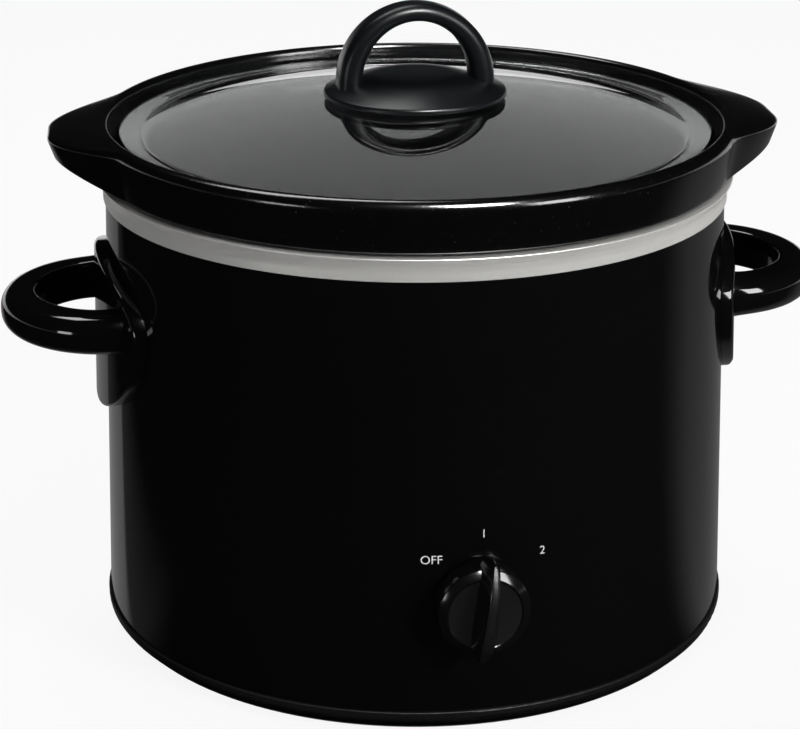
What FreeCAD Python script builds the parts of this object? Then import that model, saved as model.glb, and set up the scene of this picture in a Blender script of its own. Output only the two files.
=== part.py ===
# Round countertop slow cooker: a heated base, a lift-out stoneware crock and a glass lid.
# Millimetres and degrees. +Z is up, the front is -Y, the side handles are on X, and the
# origin is on the floor, on the axis of the pot.
import FreeCAD, Part
import math
import os

Vector = FreeCAD.Vector

# Fits
seat_gap = 0.1                  # between pieces that are bolted or clamped together
lift_gap = 0.3                  # under pieces that lift off
running_gap = 0.05              # round the turning shaft

# Base pan
base_height = 8.5               # floor to the step that carries the shell
base_lip = 0.9                  # how far the ring stands proud of the shell
base_belly = 5.1                # floor to where the ring has its full width
base_belly_round = 3.0
base_edge_round = 0.5
base_wall = 2.5
base_floor_rise = 3.5           # floor to the underside of the pan
base_floor_round = 1.5          # inside, between floor and spigot
foot_rim_width = 7.0
foot_rim_inset = 5.2            # foot rim's outer edge, in from the ring
foot_rim_outer_round = 1.5
foot_rim_inner_round = 0.8
foot_rim_root_round = 1.0
spigot_height = 7.5
boss_radius = 15.0              # raised middle over the nut
boss_slope = 5.0
boss_round = 2.0
vent_count = 12
vent_width = 4.0
vent_length = 26.0
vent_start = 48.0               # radius where a vent begins

# Outer shell
shell_top_radius = 118.5
shell_flare = 4.7               # how much wider the shell is at its foot
shell_height = 170.4
shell_sheet = 0.8
seam_width = 9.0
seam_gap = 1.0                  # seam's upper end to the bright skirt
seam_angle = 122.0              # place of the lapped seam round the axis, on the back left

# Heating well
well_sheet = 0.8
well_flange = 7.9               # from the shell's outside in to the mouth of the well
well_depth = 138.7
well_taper = 8.5                # radius lost from mouth to floor
well_corner = 30.0
well_lip_radius = 3.0
band_height = 8.7               # bright skirt outside the shell
band_flare = 2.2
band_edge_round = 0.3

# Crock
crock_side_gap = 2.5
crock_floor_gap = 8.0
crock_wall = 8.0
crock_floor = 9.0
crock_corner = 28.0
foot_ring_radius = 64.0
foot_ring_recess = 1.5
foot_ring_round = 0.5
rim_height = 20.0
rim_overhang = 4.5              # rim's top edge, out from the shell's top edge
rim_draft = 3.2                 # rim's lower edge, in from its top edge
rim_land = 6.5                  # rim's top edge in to the lid's recess
rim_round = 4.0
rim_foot_round = 1.2
rim_lip_round = 2.5
ledge_depth = 9.0               # lid's recess, down from the rim
ledge_outer_round = 2.0
ledge_inner_round = 4.0
lug_reach = 17.0                # lug's tip, out from the rim
lug_half_tip = 15.0
lug_flank_angle = 50.0
lug_corner = 22.0
lug_root = 30.0
lug_under_slope = 26.6
crock_turn = -4.0               # the loose crock stands turned a little from the handles

# Lid
lid_side_gap = 2.4
lid_flange = 9.0                # flat border of the glass
lid_rise = 13.2
glass_thickness = 4.0
gasket_radius = 12.0
gasket_thickness = 1.2
lid_plate_radius = 35.0
lid_plate_edge = 3.0
lid_plate_edge_round = 1.2
lid_plate_foot_round = 0.4
lid_plate_crown = 6.5           # top of the plate above the glass
lid_plate_shoulder = 18.0
lid_plate_shoulder_round = 20.0
arch_radius = 30.0
arch_rise = 34.0                # top of the arch above the glass
arch_leg = 9.0
arch_crown = 7.0
arch_depth = 15.0
arch_round = 3.2
lid_screw_radius = 2.5
lid_screw_depth = 5.0
lid_screw_head = 4.5
lid_screw_head_height = 3.0
lid_washer_radius = 8.0
lid_washer_thickness = 1.0

# Side handles
handle_height = 130.5           # middle of the loop above the floor
loop_thickness = 15.0
loop_reach = 40.5
loop_half_width = 43.0
loop_round = 6.2
grip_reach = 27.0               # finger hole
grip_half_width = 29.0
grip_round = 2.0
plate_thickness = 4.5
plate_half_width = 50.0
plate_rise = 21.0               # above the plate's widest level
plate_drop = 39.0               # below it
plate_level = 1.0               # widest level above the middle of the loop
handle_screw_angle = 16.5
handle_screw_radius = 1.75
handle_screw_depth = 14.0
handle_screw_head = 3.5
handle_screw_head_height = 2.2

# Knob and switch
knob_height = 51.3
knob_radius = 16.8
knob_face_radius = 13.8
knob_depth = 10.4
knob_gap = 0.5
knob_bevel = 2.0
knob_bevel_round = 0.8
knob_edge_round = 0.5
knob_face_recess = 0.6
knob_pocket_gap = 1.0           # round the nut and over the bushing
blade_length = 39.6
blade_foot_width = 11.0
blade_crest_width = 5.0
blade_rise = 10.0               # crest above the knob's face
blade_end_drop = 6.0            # ends of the crest, below its middle
blade_skirt = 4.0               # blade's ends reach this far below the face
blade_crest_round = 20.0
blade_end_round = 6.0
blade_foot_round = 1.5
pointer_tilt = 7.0              # pointer's place at rest, clockwise from upright
bushing_radius = 4.8
bushing_reach = 4.0             # past the shell
shaft_radius = 3.0
shaft_flat = 2.2                # axis to the flat
shaft_reach = 15.0              # past the shell
shaft_depth = 8.0               # inside the switch
switch_width = 26.0
switch_tall = 22.0
switch_deep = 13.0
switch_round = 1.0
switch_nut_flats = 14.0
switch_nut_thickness = 2.0
tab_width = 6.0
tab_length = 6.0
tab_thickness = 0.8

# Heater and wiring
heater_rise = 23.7              # heater's lower edge, above the knob's axis
heater_height = 50.0
heater_thickness = 1.6
lead_angle = 25.0               # heater's connections, either side of the front
lead_radius = 1.2
lead_bend = 6.0
fuse_radius = 2.6
fuse_length = 8.0
strap_width = 12.0
strap_thickness = 0.6
strap_ear = 7.0
strap_gap = 6.0
strap_angle = 90.0              # place of the strap's ears, at the back
strap_screw_radius = 1.5
strap_screw_head = 2.8
strap_screw_head_height = 1.8

# Stud that draws well, shell and base together
stud_radius = 2.5
stud_head_radius = 8.0
stud_head_thickness = 1.5
stud_end = 3.0                  # above the floor
stud_tail = 1.0                 # past the nut
base_washer_radius = 6.5
base_washer_thickness = 1.0
base_nut_flats = 8.0
base_nut_thickness = 4.0

# Cord gland
gland_height = 32.0
gland_radius = 7.5
gland_bore = 3.6
gland_flange = 2.4
gland_flange_thickness = 2.0
gland_length = 9.0

# Levels and radii that follow from the values above
shell_foot_radius = shell_top_radius + shell_flare
shell_top = base_height + shell_height
well_rim = shell_top + well_sheet
well_floor = well_rim - well_depth
well_mouth_radius = shell_top_radius - well_flange
band_bottom = well_rim - band_height
crock_seat = well_rim + lift_gap
crock_bottom = well_floor + crock_floor_gap
rim_top = crock_seat + rim_height
rim_radius = shell_top_radius + rim_overhang
ledge = rim_top - ledge_depth
ledge_radius = rim_radius - rim_land
lid_seat = ledge + lift_gap
lid_radius = ledge_radius - lid_side_gap
lid_edge_top = lid_seat + glass_thickness
lid_apex = lid_edge_top + lid_rise
dome_radius = lid_radius - lid_flange
dome_sphere = (dome_radius ** 2 + lid_rise ** 2) / (2 * lid_rise)
heater_bottom = knob_height + heater_rise
heater_top = heater_bottom + heater_height
base_inside = base_floor_rise + base_wall
boss_underside = stud_end + stud_tail + base_nut_thickness + base_washer_thickness


def shell_radius(height):
    share = (height - base_height) / shell_height
    return shell_foot_radius + share * (shell_top_radius - shell_foot_radius)


def well_radius(height):
    return well_mouth_radius - well_taper * (well_rim - height) / well_depth


def heater_radius(height):
    return well_radius(height) + well_sheet + lift_gap


def dome(radius):
    return lid_apex - dome_sphere + math.sqrt(dome_sphere ** 2 - radius ** 2)


def polar(radius, angle, height=0):
    turn = math.radians(angle)
    return Vector(radius * math.cos(turn), radius * math.sin(turn), height)


# Outlines and simple solids

def in_section(point):
    return Vector(point.x, 0, point.y)


def in_plan(point):
    return point


def outline(corners, place):
    # Closed wire through corners (a, b, rounding); a rounding of 0 keeps the corner sharp.
    spots = [Vector(a, b, 0) for a, b, rounding in corners]
    joints = []
    for index, (a, b, rounding) in enumerate(corners):
        here = spots[index]
        back = (spots[index - 1] - here).normalize()
        ahead = (spots[(index + 1) % len(spots)] - here).normalize()
        half = back.getAngle(ahead) / 2
        if rounding == 0:
            joints.append((here, None, here))
            continue
        reach = rounding / math.tan(half)
        middle = here + (back + ahead).normalize() * (rounding / math.sin(half) - rounding)
        joints.append((here + back * reach, middle, here + ahead * reach))
    edges = []
    for index, (start, middle, end) in enumerate(joints):
        if middle is not None:
            edges.append(Part.Arc(place(start), place(middle), place(end)).toShape())
        following = joints[(index + 1) % len(joints)][0]
        if (following - end).Length > 1e-6:
            edges.append(Part.LineSegment(place(end), place(following)).toShape())
    return Part.Wire(edges)


def revolved(corners, angle=360):
    face = Part.Face(outline(corners, in_section))
    return face.revolve(Vector(0, 0, 0), Vector(0, 0, 1), angle)


def cylinder(radius, low, high):
    return Part.makeCylinder(radius, high - low, Vector(0, 0, low))


def ring(inner, outer, low, high):
    return cylinder(outer, low, high).cut(cylinder(inner, low, high))


def block(width, depth, low, high, x=0, y=0):
    return Part.makeBox(width, depth, high - low, Vector(x - width / 2, y - depth / 2, low))


def hexagon(flats, low, high):
    corner = flats / 2 / math.cos(math.radians(30))
    corners = [polar(corner, 60 * step, low) for step in range(7)]
    return Part.Face(Part.makePolygon(corners)).extrude(Vector(0, 0, high - low))


def nut(flats, hole, low, high):
    return hexagon(flats, low, high).cut(cylinder(hole, low, high))


def pan_screw(radius, length, head_radius, head_height):
    # Shank along +Z from the seat at z = 0, head below it.
    head = revolved([(0, -head_height, 0), (head_radius, -head_height, head_height * 0.6),
                     (head_radius, 0, 0), (0, 0, 0)])
    return head.fuse(cylinder(radius, 0, length)).removeSplitter()


def oval_edge(half_width, half_height, start, end):
    # Part of an ellipse about the origin, from a round arc stretched both ways.
    arc = Part.makeCircle(1, Vector(0, 0, 0), Vector(0, 0, 1), start, end)
    stretch = FreeCAD.Matrix()
    stretch.scale(half_width, half_height, 1)
    return arc.transformGeometry(stretch)


def oval_prism(half_width, half_height, low, high):
    halves = [oval_edge(half_width, half_height, 0, 180), oval_edge(half_width, half_height, 180, 360)]
    face = Part.Face(Part.Wire(halves))
    face.translate(Vector(0, 0, low))
    return face.extrude(Vector(0, 0, high - low))


def level_edges(shape, level):
    return [edge for edge in shape.Edges
            if abs(edge.BoundBox.ZMin - level) < 1e-4 and abs(edge.BoundBox.ZMax - level) < 1e-4]


def facing(origin, direction, spin=0):
    # Placement that points a piece's +Z along a direction; spin turns it about that axis.
    turn = FreeCAD.Rotation(Vector(0, 0, 1), direction)
    return FreeCAD.Placement(origin, turn.multiply(FreeCAD.Rotation(Vector(0, 0, 1), spin)))


def placed(shape, placement):
    return shape.transformed(placement.toMatrix(), True)


# The front's own frame: +Z out of the shell on the knob's axis, +Y up.
front_radius = shell_radius(knob_height)
front = FreeCAD.Placement(Vector(0, -front_radius, knob_height), FreeCAD.Rotation(Vector(1, 0, 0), 90))
pointer_turn = FreeCAD.Rotation(Vector(0, 0, 1), -pointer_tilt)


def on_front(shape):
    return placed(shape, front)


def on_pointer(shape):
    return placed(shape, front.multiply(FreeCAD.Placement(Vector(0, 0, 0), pointer_turn)))


gland_frame = facing(Vector(0, shell_radius(gland_height), gland_height), Vector(0, 1, 0))


def handle_screw_frames():
    # Seats of the two right-hand screws, on the inside of the shell.
    radius = shell_radius(handle_height) - shell_sheet - seat_gap
    for side in (-1, 1):
        outward = polar(1, side * handle_screw_angle)
        yield facing(outward * radius + Vector(0, 0, handle_height), outward)


# Base

def make_base_pan():
    ring_radius = shell_foot_radius + base_lip
    foot_outer = ring_radius - foot_rim_inset
    foot_inner = foot_outer - foot_rim_width
    spigot_top = base_height + spigot_height
    spigot_outer = shell_radius(spigot_top) - shell_sheet - seat_gap
    spigot_inner = spigot_outer - base_wall
    hole = stud_radius + lift_gap
    boss_foot = boss_radius + boss_slope
    pan = revolved([
        (hole, boss_underside, 0),
        (boss_radius, boss_underside, boss_round),
        (boss_foot, base_floor_rise, boss_round),
        (foot_inner, base_floor_rise, foot_rim_root_round),
        (foot_inner, 0, foot_rim_inner_round),
        (foot_outer, 0, foot_rim_outer_round),
        (ring_radius, base_belly, base_belly_round),
        (ring_radius, base_height, base_edge_round),
        (spigot_outer, base_height, 0),
        (spigot_outer, spigot_top, base_edge_round),
        (spigot_inner, spigot_top, base_edge_round),
        (spigot_inner, base_inside, base_floor_round),
        (boss_foot + base_wall / 2, base_inside, boss_round),
        (boss_radius + base_wall / 2, boss_underside + base_wall, boss_round),
        (hole, boss_underside + base_wall, 0),
    ])
    end = vent_width / 2 * 0.99
    slot = [(vent_start, -vent_width / 2, end), (vent_start + vent_length, -vent_width / 2, end),
            (vent_start + vent_length, vent_width / 2, end), (vent_start, vent_width / 2, end)]
    vent = Part.Face(outline(slot, in_plan)).extrude(Vector(0, 0, base_inside + base_height))
    for step in range(vent_count):
        turned = vent.copy()
        turned.rotate(Vector(0, 0, 0), Vector(0, 0, 1), 360 / vent_count * (step + 0.5))
        pan = pan.cut(turned)
    return pan


def make_outer_shell():
    def wall(inner, outer, low, high, angle):
        foot = shell_radius(low)
        top = shell_radius(high)
        return revolved([(foot + inner, low, 0), (foot + outer, low, 0),
                         (top + outer, high, 0), (top + inner, high, 0)], angle)

    shell = wall(-shell_sheet, 0, base_height, shell_top, 360)
    seam_span = math.degrees(seam_width / shell_foot_radius)
    seam = wall(-shell_sheet / 2, shell_sheet, base_height, band_bottom - seam_gap, seam_span)
    seam.rotate(Vector(0, 0, 0), Vector(0, 0, 1), seam_angle)
    shell = shell.fuse(seam)
    reach = 4 * (shell_sheet + seat_gap)
    holes = [on_front(cylinder(bushing_radius + lift_gap, -reach, reach))]
    holes.append(placed(cylinder(gland_radius + seat_gap, -reach, reach), gland_frame))
    for frame in handle_screw_frames():
        hole = placed(cylinder(handle_screw_radius + lift_gap, -reach, reach), frame)
        holes.append(hole)
        holes.append(hole.mirror(Vector(0, 0, 0), Vector(1, 0, 0)))
    for hole in holes:
        shell = shell.cut(hole)
    return shell


def make_heating_well():
    skirt_inner = shell_top_radius + lift_gap
    skirt_outer = skirt_inner + well_sheet
    floor_radius = well_radius(well_floor)
    return revolved([
        (0, well_floor, 0),
        (floor_radius, well_floor, well_corner),
        (well_mouth_radius, well_rim, well_lip_radius),
        (skirt_outer + band_flare, well_rim, band_edge_round),
        (skirt_outer, well_rim - band_height * 0.45, band_height * 0.9),
        (skirt_outer, band_bottom, 0),
        (skirt_inner, band_bottom, 0),
        (skirt_inner, shell_top, 0),
        (well_mouth_radius + well_sheet, shell_top, well_lip_radius - well_sheet),
        (floor_radius + well_sheet, well_floor - well_sheet, well_corner + well_sheet),
        (0, well_floor - well_sheet, 0),
    ])


def make_well_stud():
    top = well_floor - well_sheet
    head = cylinder(stud_head_radius, top - stud_head_thickness, top)
    return head.fuse(cylinder(stud_radius, stud_end, top)).removeSplitter()


def make_base_washer():
    low = boss_underside - base_washer_thickness
    return ring(stud_radius + seat_gap, base_washer_radius, low, boss_underside)


def make_base_nut():
    top = boss_underside - base_washer_thickness
    return nut(base_nut_flats, stud_radius + running_gap, top - base_nut_thickness, top)


def make_cord_gland():
    # The flange's back clears the shell at the flange's lowest point, where the shell is widest.
    flange_radius = gland_radius + gland_flange
    seat = shell_radius(gland_height - flange_radius) - shell_radius(gland_height) + seat_gap
    outer_end = seat + gland_flange_thickness
    flange = ring(gland_bore, flange_radius, seat, outer_end)
    sleeve = ring(gland_bore, gland_radius, outer_end - gland_length, outer_end)
    return placed(flange.fuse(sleeve).removeSplitter(), gland_frame)


# Crock and lid

def rim_outline(radius, level):
    # Round rim with two lugs: straight tip, round corners, straight flanks and hollow roots.
    slope = math.radians(lug_flank_angle)
    along = Vector(-math.cos(slope), math.sin(slope), 0)
    away = Vector(math.sin(slope), math.cos(slope), 0)
    corner = Vector(radius + lug_reach, lug_half_tip, 0)
    turn = math.radians(90 - lug_flank_angle)
    trim = lug_corner * math.tan(turn / 2)
    start = corner + away * lug_root
    lean = along.dot(start)
    travel = -lean - math.sqrt(lean ** 2 - start.Length ** 2 + (radius + lug_root) ** 2)
    hollow = start + along * travel
    tip_end = corner - Vector(0, trim, 0)
    flank_start = corner + along * trim
    flank_end = hollow - away * lug_root
    root_end = hollow * (radius / (radius + lug_root))
    inward = (Vector(0, -1, 0) + along).normalize()
    corner_middle = corner + inward * (lug_corner / math.cos(turn / 2) - lug_corner)
    to_flank = (flank_end - hollow).normalize()
    to_root = (root_end - hollow).normalize()
    root_middle = hollow + (to_flank + to_root).normalize() * lug_root

    def mirrored(point, side_x, side_y):
        return Vector(point.x * side_x, point.y * side_y, level)

    def quarter(side_x, side_y):
        names = (tip_end, corner_middle, flank_start, flank_end, root_middle, root_end)
        return [mirrored(point, side_x, side_y) for point in names]

    def climb(points):
        tip, corner_mid, flank_low, flank_high, root_mid, root = points
        return [Part.Arc(tip, corner_mid, flank_low), Part.LineSegment(flank_low, flank_high),
                Part.Arc(flank_high, root_mid, root)]

    def descend(points):
        tip, corner_mid, flank_low, flank_high, root_mid, root = points
        return [Part.Arc(root, root_mid, flank_high), Part.LineSegment(flank_high, flank_low),
                Part.Arc(flank_low, corner_mid, tip)]

    right_back, left_back = quarter(1, 1), quarter(-1, 1)
    left_front, right_front = quarter(-1, -1), quarter(1, -1)
    curves = climb(right_back)
    curves.append(Part.Arc(right_back[-1], Vector(0, radius, level), left_back[-1]))
    curves += descend(left_back)
    curves.append(Part.LineSegment(left_back[0], left_front[0]))
    curves += climb(left_front)
    curves.append(Part.Arc(left_front[-1], Vector(0, -radius, level), right_front[-1]))
    curves += descend(right_front)
    curves.append(Part.LineSegment(right_front[0], right_back[0]))
    return Part.Wire([curve.toShape() for curve in curves])


def make_crock_rim():
    # Drafted block with the lugs' plan, trimmed by a disc whose underside climbs under the lugs.
    foot_radius = rim_radius - rim_draft
    slope_start = foot_radius - 2 * rim_foot_round
    far = rim_radius + 2 * lug_reach
    climb = (far - slope_start) * math.tan(math.radians(lug_under_slope))
    inner = well_mouth_radius - crock_side_gap - crock_wall / 2
    drafted = Part.makeLoft([rim_outline(foot_radius, crock_seat - rim_height * 0.01),
                             rim_outline(rim_radius, rim_top)], True, True)
    disc = revolved([(inner, crock_seat, 0), (slope_start, crock_seat, 0), (far, crock_seat + climb, 0),
                     (far, max(rim_top, crock_seat + climb) + rim_height, 0),
                     (inner, max(rim_top, crock_seat + climb) + rim_height, 0)])
    rim = drafted.common(disc)

    def is_outer(edge):
        start = edge.Vertexes[0].Point
        return math.hypot(start.x, start.y) > slope_start + rim_foot_round

    def is_lower(edge):
        return edge.BoundBox.ZMax < rim_top - rim_height / 4

    rim = rim.makeFillet(rim_round, [edge for edge in level_edges(rim, rim_top) if is_outer(edge)])
    return rim.makeFillet(rim_foot_round, [edge for edge in rim.Edges if is_outer(edge) and is_lower(edge)])


def make_stoneware_crock():
    def wall(level):
        return well_radius(level) - crock_side_gap

    bowl_top = crock_seat + rim_height / 2
    bowl = revolved([
        (0, crock_bottom + foot_ring_recess, 0),
        (foot_ring_radius, crock_bottom + foot_ring_recess, foot_ring_round),
        (foot_ring_radius + foot_ring_recess, crock_bottom, foot_ring_round),
        (wall(crock_bottom), crock_bottom, crock_corner),
        (wall(bowl_top), bowl_top, 0),
        (0, bowl_top, 0),
    ])
    inside_floor = crock_bottom + crock_floor
    above = rim_top + rim_height
    hollow = revolved([
        (0, inside_floor, 0),
        (wall(inside_floor) - crock_wall, inside_floor, crock_corner),
        (wall(ledge) - crock_wall, ledge, ledge_inner_round),
        (ledge_radius, ledge, ledge_outer_round),
        (ledge_radius, rim_top, rim_lip_round),
        (ledge_radius + rim_lip_round, rim_top, 0),
        (ledge_radius + rim_lip_round, above, 0),
        (0, above, 0),
    ])
    crock = make_crock_rim().fuse(bowl).cut(hollow).removeSplitter()
    crock.rotate(Vector(0, 0, 0), Vector(0, 0, 1), crock_turn)
    return crock


def make_lid_glass():
    hole = lid_screw_radius + lift_gap
    border = lid_radius - glass_thickness / 2
    under = dome_radius - glass_thickness / 3
    half = dome_radius / 2

    def at(radius, height):
        return Vector(radius, 0, height)

    curves = [
        Part.Arc(at(hole, dome(hole)), at(half, dome(half)), at(dome_radius, lid_edge_top)),
        Part.LineSegment(at(dome_radius, lid_edge_top), at(border, lid_edge_top)),
        Part.Arc(at(border, lid_edge_top), at(lid_radius, lid_seat + glass_thickness / 2),
                 at(border, lid_seat)),
        Part.LineSegment(at(border, lid_seat), at(under, lid_seat)),
        Part.Arc(at(under, lid_seat), at(half, dome(half) - glass_thickness),
                 at(hole, dome(hole) - glass_thickness)),
        Part.LineSegment(at(hole, dome(hole) - glass_thickness), at(hole, dome(hole))),
    ]
    face = Part.Face(Part.Wire([curve.toShape() for curve in curves]))
    return face.revolve(Vector(0, 0, 0), Vector(0, 0, 1), 360)


gasket_bottom = lid_apex + running_gap
gasket_top = gasket_bottom + gasket_thickness
lid_plate_top = lid_apex + lid_plate_crown


def make_lid_gasket():
    return ring(lid_screw_radius + lift_gap, gasket_radius, gasket_bottom, gasket_top)


def make_lid_handle():
    pocket = gasket_radius + lift_gap
    skirt = dome(lid_plate_radius) + lift_gap
    plate = revolved([
        (0, gasket_top + running_gap, 0),
        (pocket, gasket_top + running_gap, 0),
        (pocket, dome(pocket) + lift_gap, 0),
        (lid_plate_radius, skirt, lid_plate_foot_round),
        (lid_plate_radius, skirt + lid_plate_edge, lid_plate_edge_round),
        (lid_plate_shoulder, lid_plate_top, lid_plate_shoulder_round),
        (0, lid_plate_top, 0),
    ])
    arch_top = lid_apex + arch_rise
    outer_centre = arch_top - arch_radius
    inner_radius = arch_radius - arch_leg
    inner_centre = arch_top - arch_crown - inner_radius
    foot = lid_apex + lid_plate_edge
    front_face = -arch_depth / 2

    def at(x, height):
        return Vector(x, front_face, height)

    curves = [
        Part.LineSegment(at(arch_radius, foot), at(arch_radius, outer_centre)),
        Part.Arc(at(arch_radius, outer_centre), at(0, arch_top), at(-arch_radius, outer_centre)),
        Part.LineSegment(at(-arch_radius, outer_centre), at(-arch_radius, foot)),
        Part.LineSegment(at(-arch_radius, foot), at(-inner_radius, foot)),
        Part.LineSegment(at(-inner_radius, foot), at(-inner_radius, inner_centre)),
        Part.Arc(at(-inner_radius, inner_centre), at(0, arch_top - arch_crown),
                 at(inner_radius, inner_centre)),
        Part.LineSegment(at(inner_radius, inner_centre), at(inner_radius, foot)),
        Part.LineSegment(at(inner_radius, foot), at(arch_radius, foot)),
    ]
    arch = Part.Face(Part.Wire([curve.toShape() for curve in curves])).extrude(Vector(0, arch_depth, 0))
    rounded = [edge for edge in arch.Edges
               if edge.BoundBox.YLength < 1e-4 and edge.BoundBox.ZLength > 1e-4]
    arch = arch.makeFillet(arch_round, rounded)
    hole = cylinder(lid_screw_radius, lid_apex, gasket_top + lid_screw_depth)
    return plate.fuse(arch).removeSplitter().cut(hole)


def make_lid_screw():
    seat = dome(lid_screw_radius) - glass_thickness - lid_washer_thickness - 2 * seat_gap
    length = gasket_top + lid_screw_depth - seat_gap - seat
    screw = pan_screw(lid_screw_radius - running_gap, length, lid_screw_head, lid_screw_head_height)
    screw.translate(Vector(0, 0, seat))
    return screw


def make_lid_washer():
    top = dome(lid_washer_radius) - glass_thickness - seat_gap
    return ring(lid_screw_radius + seat_gap, lid_washer_radius, top - lid_washer_thickness, top)


# Side handles

def cone_solid(offset):
    # Everything inside the shell's outer surface moved out by offset, taller than the shell.
    low, high = -base_height, well_rim + base_height
    return revolved([(0, low, 0), (shell_radius(low) + offset, low, 0),
                     (shell_radius(high) + offset, high, 0), (0, high, 0)])


def make_handle():
    low = handle_height - loop_thickness / 2
    high = handle_height + loop_thickness / 2
    loop = oval_prism(loop_reach, loop_half_width, low, high)
    loop = loop.makeFillet(loop_round, level_edges(loop, low) + level_edges(loop, high))
    loop = loop.cut(oval_prism(grip_reach, grip_half_width, low, high))
    inner_edges = [edge for edge in level_edges(loop, low) + level_edges(loop, high)
                   if edge.BoundBox.YLength < 2 * grip_half_width + 1e-3]
    loop = loop.makeFillet(grip_round, inner_edges)
    loop.translate(Vector(shell_radius(handle_height), 0, 0))

    # The plate's outline is drawn flat, then stood up across the side of the shell.
    halves = [oval_edge(plate_half_width, plate_rise, 0, 180),
              oval_edge(plate_half_width, plate_drop, 180, 360)]
    prism = Part.Face(Part.Wire(halves)).extrude(Vector(0, 0, shell_foot_radius + loop_reach))
    stand_up = FreeCAD.Placement(Vector(0, 0, handle_height + plate_level),
                                 FreeCAD.Rotation(Vector(1, 1, 1), 120))
    inside = cone_solid(seat_gap)
    plate = placed(prism, stand_up).common(cone_solid(seat_gap + plate_thickness).cut(inside))
    right_half = Part.makeBox(shell_foot_radius + 2 * loop_reach, 4 * loop_half_width, 2 * shell_top,
                              Vector(0, -2 * loop_half_width, 0))
    handle = plate.fuse(loop.common(right_half).cut(inside)).removeSplitter()
    for frame in handle_screw_frames():
        depth = shell_sheet + handle_screw_depth + lift_gap
        handle = handle.cut(placed(cylinder(handle_screw_radius, 0, depth), frame))
    return handle


def make_handle_screws():
    length = shell_sheet + handle_screw_depth
    screw = pan_screw(handle_screw_radius - running_gap, length,
                      handle_screw_head, handle_screw_head_height)
    return Part.makeCompound([placed(screw, frame) for frame in handle_screw_frames()])


def on_left(shape):
    return shape.mirror(Vector(0, 0, 0), Vector(1, 0, 0))


# Knob and switch, in the front's own frame

bushing_top = bushing_reach
nut_corner = switch_nut_flats / 2 / math.cos(math.radians(30))
nut_seat = shell_radius(knob_height - nut_corner) - front_radius + seat_gap
knob_back = shell_radius(knob_height - knob_radius) - front_radius + knob_gap
half_switch = switch_width / 2
upper_inside = shell_radius(knob_height + switch_tall / 2) - shell_sheet
switch_front = math.sqrt(upper_inside ** 2 - half_switch ** 2) - front_radius - seat_gap
switch_back = switch_front - switch_deep
switch_middle = (switch_front + switch_back) / 2


def d_section(radius, flat, low, high):
    bar = cylinder(radius, low, high)
    return bar.cut(block(2 * radius, radius, low, high, y=flat + radius / 2))


def make_knob():
    face = knob_back + knob_depth
    pocket_radius = nut_corner + knob_pocket_gap
    pocket_top = bushing_top + knob_pocket_gap
    disc = revolved([
        (0, pocket_top, 0),
        (pocket_radius, pocket_top, 0),
        (pocket_radius, knob_back, 0),
        (knob_radius, knob_back, knob_edge_round),
        (knob_radius, face - knob_bevel, knob_bevel_round),
        (knob_face_radius, face, knob_edge_round),
        (knob_face_radius - knob_face_recess, face - knob_face_recess, 0),
        (0, face - knob_face_recess, 0),
    ])
    half = blade_length / 2
    crest = face + blade_rise
    skirt = face - blade_skirt
    shoulder = crest - blade_end_drop
    side = [(-half, skirt, blade_foot_round), (half, skirt, blade_foot_round),
            (half, shoulder, blade_end_round), (half * 0.4, crest, blade_crest_round),
            (-half * 0.4, crest, blade_crest_round), (-half, shoulder, blade_end_round)]

    def in_side(point):
        return Vector(-blade_foot_width, point.x, point.y)

    fin = Part.Face(outline(side, in_side)).extrude(Vector(2 * blade_foot_width, 0, 0))
    # Wedge section, with both ends rounded in plan.
    tall = crest - skirt

    def oval(width, level):
        edges = [oval_edge(width / 2, half * 1.02, 0, 180), oval_edge(width / 2, half * 1.02, 180, 360)]
        wire = Part.Wire(edges)
        wire.translate(Vector(0, 0, level))
        return wire

    spread = (blade_foot_width - blade_crest_width) / tall
    wedge = Part.makeLoft([oval(blade_foot_width + spread, skirt - 1),
                           oval(blade_crest_width - spread, crest + 1)], True, True)
    blade = wedge.common(fin)
    bore = d_section(shaft_radius + running_gap, shaft_flat + running_gap,
                     pocket_top - knob_pocket_gap, shaft_reach + seat_gap)
    return on_pointer(disc.fuse(blade).removeSplitter().cut(bore))


def make_switch_shaft():
    return on_pointer(cylinder(shaft_radius, switch_front - shaft_depth, bushing_top).fuse(
        d_section(shaft_radius, shaft_flat, bushing_top, shaft_reach)).removeSplitter())


def make_switch_body():
    body = block(switch_width, switch_tall, switch_back, switch_front)
    uprights = [edge for edge in body.Edges if edge.BoundBox.ZLength > switch_deep / 2]
    body = body.makeFillet(switch_round, uprights)
    body = body.fuse(cylinder(bushing_radius, switch_front, bushing_top)).removeSplitter()
    bore = cylinder(shaft_radius + running_gap, switch_front - shaft_depth - seat_gap, bushing_top)
    return on_front(body.cut(bore))


def make_switch_nut():
    outer = nut_seat + switch_nut_thickness
    return on_front(nut(switch_nut_flats, bushing_radius + running_gap, nut_seat, outer))


def make_switch_terminals():
    low = switch_middle - tab_thickness / 2
    high = switch_middle + tab_thickness / 2
    beside = switch_width / 2 + tab_length / 2
    below = switch_tall / 2 + tab_length / 2
    tabs = [block(tab_length, tab_width, low, high, x=-beside),
            block(tab_length, tab_width, low, high, x=beside),
            block(tab_width, tab_length, low, high, y=-below)]
    return Part.makeCompound([on_front(tab) for tab in tabs])


# Heater and wiring

lead_start = Vector(switch_width / 2 + tab_length + seat_gap, -(front_radius + switch_middle), knob_height)
lead_route = math.hypot(lead_start.x, lead_start.y)
connection_radius = math.hypot(lead_route, lead_bend)
lead_top = heater_bottom - seat_gap


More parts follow.
